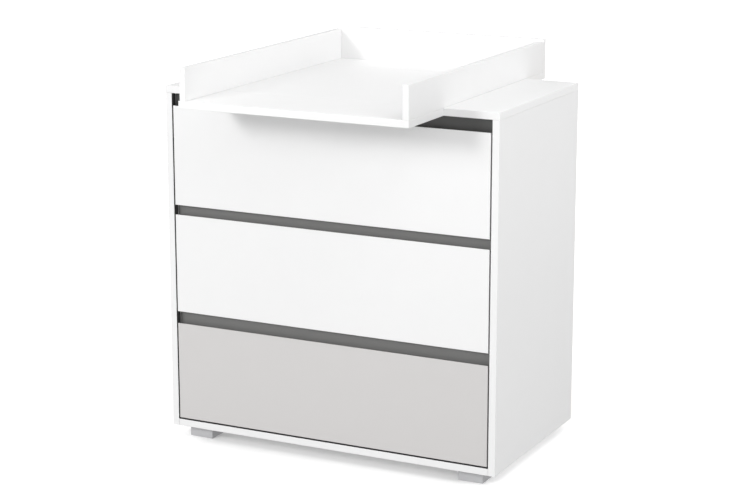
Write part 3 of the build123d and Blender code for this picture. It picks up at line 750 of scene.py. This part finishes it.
# just under half the length, so that only the end rings lie beyond it
half = add(tree, "ShaderNodeMath", {0: given["Length"], 1: 0.4999}, operation="MULTIPLY")
at_end = add(tree, "ShaderNodeMath", {0: height.outputs[0], 1: half.outputs[0]},
             operation="GREATER_THAN")
taper = add(tree, "ShaderNodeMath", {0: at_end.outputs[0], 1: given["Chamfer"]},
            operation="MULTIPLY")
inwards = add(tree, "ShaderNodeMath", {0: dip.outputs[0], 1: taper.outputs[0]}, operation="ADD")
share = add(tree, "ShaderNodeMath", {0: inwards.outputs[0], 1: given["Radius"]},
            operation="DIVIDE")
flat = add(tree, "ShaderNodeVectorMath", {0: where.outputs[0], 1: (-1, -1, 0)},
           operation="MULTIPLY")
shift = add(tree, "ShaderNodeVectorMath", {0: flat.outputs[0], "Scale": share.outputs[0]},
            operation="SCALE")
fluted = add(tree, "GeometryNodeSetPosition", {"Geometry": pin.outputs[0],
                                               "Offset": shift.outputs[0]})
direction = add(tree, "GeometryNodeInputNamedAttribute", {"Name": "direction"},
                data_type="FLOAT_VECTOR")
turned = add(tree, "FunctionNodeAlignRotationToVector", {"Vector": direction.outputs[0]},
             axis="Z")
pins = add(tree, "GeometryNodeInstanceOnPoints", {"Points": given["Geometry"],
                                                  "Instance": fluted.outputs[0],
                                                  "Rotation": turned.outputs[0]})
close_tree(tree, pins.outputs[0], beech)
fluted_pins = tree
print("dowel tree", len(fluted_pins.nodes), "nodes")

# %% [markdown]
# A mesh of single points tells the tree where the pins go. Its "direction" attribute holds the
# way that each pin lies, which is the longest side of the box that was measured.

# %% Place the dowels
marks = bpy.data.meshes.new("dowel_places")
marks.from_pydata([(low + high) / 2 for low, high in dowels], [], [])
facing = marks.attributes.new("direction", "FLOAT_VECTOR", "POINT")
for item, (low, high) in zip(facing.data, dowels):
    size = high - low
    item.vector = [1.0 if v == max(size) else 0.0 for v in size]
length = max(dowels[0][1] - dowels[0][0])
DOWEL_RADIUS, FLUTES, FLUTE_DEPTH, CHAMFER = 4 * MM, 18, 0.35 * MM, 1 * MM
made = run_tree(fluted_pins, marks, {"Length": length, "Radius": DOWEL_RADIUS,
                                     "Flutes": FLUTES, "Flute Depth": FLUTE_DEPTH,
                                     "Chamfer": CHAMFER})
piece_of("fluted_dowels", [made], "chest", "beech_dowels", "wood_dowels")
print("dowel triangles", sum(len(face.vertices) - 2 for face in made.polygons))

# %% [markdown]
# The camera stands to the right of the chest and a little above it, far back with a long lens,
# so the uprights stay nearly parallel, as furniture is usually shown.

# %% Camera
CAMERA_PLACE = (2.2729, -4.5142, 1.7069)
AZIMUTH, ELEVATION = math.radians(26.52), math.radians(13.52)
LENS = 99.0
camera_data = bpy.data.cameras.new("camera")
camera_data.sensor_width = 36.0
camera_data.lens = LENS
camera = bpy.data.objects.new("camera", camera_data)
scene.collection.objects.link(camera)
looking = Vector((-math.sin(AZIMUTH) * math.cos(ELEVATION),
                  math.cos(AZIMUTH) * math.cos(ELEVATION), -math.sin(ELEVATION)))
camera.location = CAMERA_PLACE
camera.rotation_euler = looking.to_track_quat("-Z", "Y").to_euler()
scene.camera = camera
print("lens", camera_data.lens, "distance", round(camera.location.length, 2))

# %% [markdown]
# The floor is a plain white sheet, far larger than the view. A studio lights such a sheet from
# underneath, so that it goes white and keeps only a faint shadow right under the furniture.
# Emission in the floor's material does the same: it is weak under the chest and grows outside
# its outline. The distance to that outline is worked out from the object's own coordinates. The
# sheet doesn't light the chest itself and doesn't shade it from below either. The sky's lower
# half lights it from there, so the two can be set apart.

# %% Floor
floor_mesh = bpy.data.meshes.new("studio_floor")
REACH = 40.0
corners = [(-REACH, -REACH, 0), (REACH, -REACH, 0), (REACH, REACH, 0), (-REACH, REACH, 0)]
floor_mesh.from_pydata(corners, [], [(0, 1, 2, 3)])
floor = bpy.data.objects.new("studio_floor", floor_mesh)
scene.collection.objects.link(floor)
floor.visible_diffuse = False
floor.visible_shadow = False
floor_finish, tree, at = new_finish("white_acrylic_sheet")
bottom_low, bottom_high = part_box("bottom_panel")
middle = (bottom_low + bottom_high) / 2
# the dark patch ends short of the chest's sides and fades slowly towards the front
SIDE_INSET, FADE = 0.08, 0.28
UNDER_GLOW, OPEN_GLOW, FAR_GLOW = 0.11, 0.40, 0.5
half_x = (bottom_high.x - bottom_low.x) / 2 - SIDE_INSET
half_y = (bottom_high.y - bottom_low.y) / 2
from_middle = add(tree, "ShaderNodeVectorMath", {0: at.outputs["Object"],
                                                 1: (middle.x, middle.y, 0)},
                  operation="SUBTRACT")
folded = add(tree, "ShaderNodeVectorMath", {0: from_middle.outputs[0]}, operation="ABSOLUTE")
outside = add(tree, "ShaderNodeVectorMath", {0: folded.outputs[0], 1: (half_x, half_y, 0)},
              operation="SUBTRACT")
positive = add(tree, "ShaderNodeVectorMath", {0: outside.outputs[0], 1: (0, 0, 0)},
               operation="MAXIMUM")
stretched = add(tree, "ShaderNodeVectorMath", {0: positive.outputs[0], 1: (3, 1, 1)},
                operation="MULTIPLY")
distance = add(tree, "ShaderNodeVectorMath", {0: stretched.outputs[0]}, operation="LENGTH")
near = add(tree, "ShaderNodeMapRange", {"Value": distance.outputs["Value"], "From Max": FADE,
                                        "To Min": UNDER_GLOW, "To Max": OPEN_GLOW})
# the lamps don't reach the far floor, so the light under it is stronger there
far = add(tree, "ShaderNodeMapRange", {"Value": distance.outputs["Value"], "From Min": 1.0,
                                       "From Max": 6.0, "To Max": FAR_GLOW})
glow = add(tree, "ShaderNodeMath", {0: near.outputs[0], 1: far.outputs[0]}, operation="ADD")
shader = add(tree, "ShaderNodeBsdfPrincipled", {
    "Base Color": linear("#f0f0f0"), "Roughness": 0.9, "Specular IOR Level": 0.0,
    "Emission Color": linear("#ffffff"), "Emission Strength": glow.outputs[0]})
close_finish(tree, shader)
floor_mesh.materials.append(floor_finish)
print("floor", 2 * REACH, "m wide")

# %% [markdown]
# The light is soft and even. A white sky gives most of it, and its lower half stands for the
# light that a white floor sends up. The key is a softbox at the front left, a little above the
# camera. It is small enough to draw the shadow of the overhanging changing top on the upper
# drawer, and a wider one beside it softens the shadow's edge. Two fills on the right, one low in
# front, and one each overhead, on the left and behind keep the other sides only a shade darker.

# %% Light
scene.view_settings.view_transform = "Standard"
world = bpy.data.worlds.new("studio_light")
scene.world = world
world.use_nodes = True
tree = world.node_tree
sky = tree.nodes["Background"]
sky.inputs["Color"].default_value = linear("#ffffff")
at = add(tree, "ShaderNodeTexCoord")
direction = add(tree, "ShaderNodeSeparateXYZ", {0: at.outputs["Generated"]})
half = add(tree, "ShaderNodeMapRange", {"Value": direction.outputs["Z"], "From Min": -0.05,
                                        "From Max": 0.05, "To Min": 0.43, "To Max": 0.58})
# what the camera itself sees of the sky is plain white, like the studio's far wall
path = add(tree, "ShaderNodeLightPath")
seen = add(tree, "ShaderNodeMix", {"Factor": path.outputs["Is Camera Ray"], 2: half.outputs[0],
                                   3: 1.0})
tree.links.new(seen.outputs[0], sky.inputs["Strength"])


AIM = (0, 0, 0.6)


def softbox(name, azimuth, elevation, distance, size, energy):
    """A square lamp that looks at the middle of the chest; azimuth 0 is straight in front."""
    data = bpy.data.lights.new(name, "AREA")
    data.shape = "SQUARE"
    data.size = size
    data.energy = energy
    lamp = bpy.data.objects.new(name, data)
    scene.collection.objects.link(lamp)
    turn, rise = math.radians(azimuth), math.radians(elevation)
    toward = Vector((math.sin(turn) * math.cos(rise), -math.cos(turn) * math.cos(rise),
                     math.sin(rise)))
    lamp.location = Vector(AIM) + toward * distance
    lamp.rotation_euler = (-toward).to_track_quat("-Z", "Y").to_euler()


# each lamp's azimuth and elevation in degrees, distance and size in metres, and power in watts
SOFTBOXES = {
    "key_softbox": (-22, 22, 5.0, 0.8, 50),
    "wide_key_softbox": (-24, 24, 5.0, 1.6, 57),
    "low_fill_softbox": (20, 5, 5.0, 1.2, 31),
    "right_softbox": (70, 25, 5.0, 1.6, 46),
    "right_top_softbox": (71, 55, 4.0, 1.8, 36),
    "top_softbox": (0, 85, 3.2, 2.0, 11),
    "left_softbox": (-97, 12, 5.0, 1.6, 30),
    "back_softbox": (172, 12, 5.0, 2.0, 40),
}
for name, setting in SOFTBOXES.items():
    softbox(name, *setting)
print("lamps", len(SOFTBOXES))
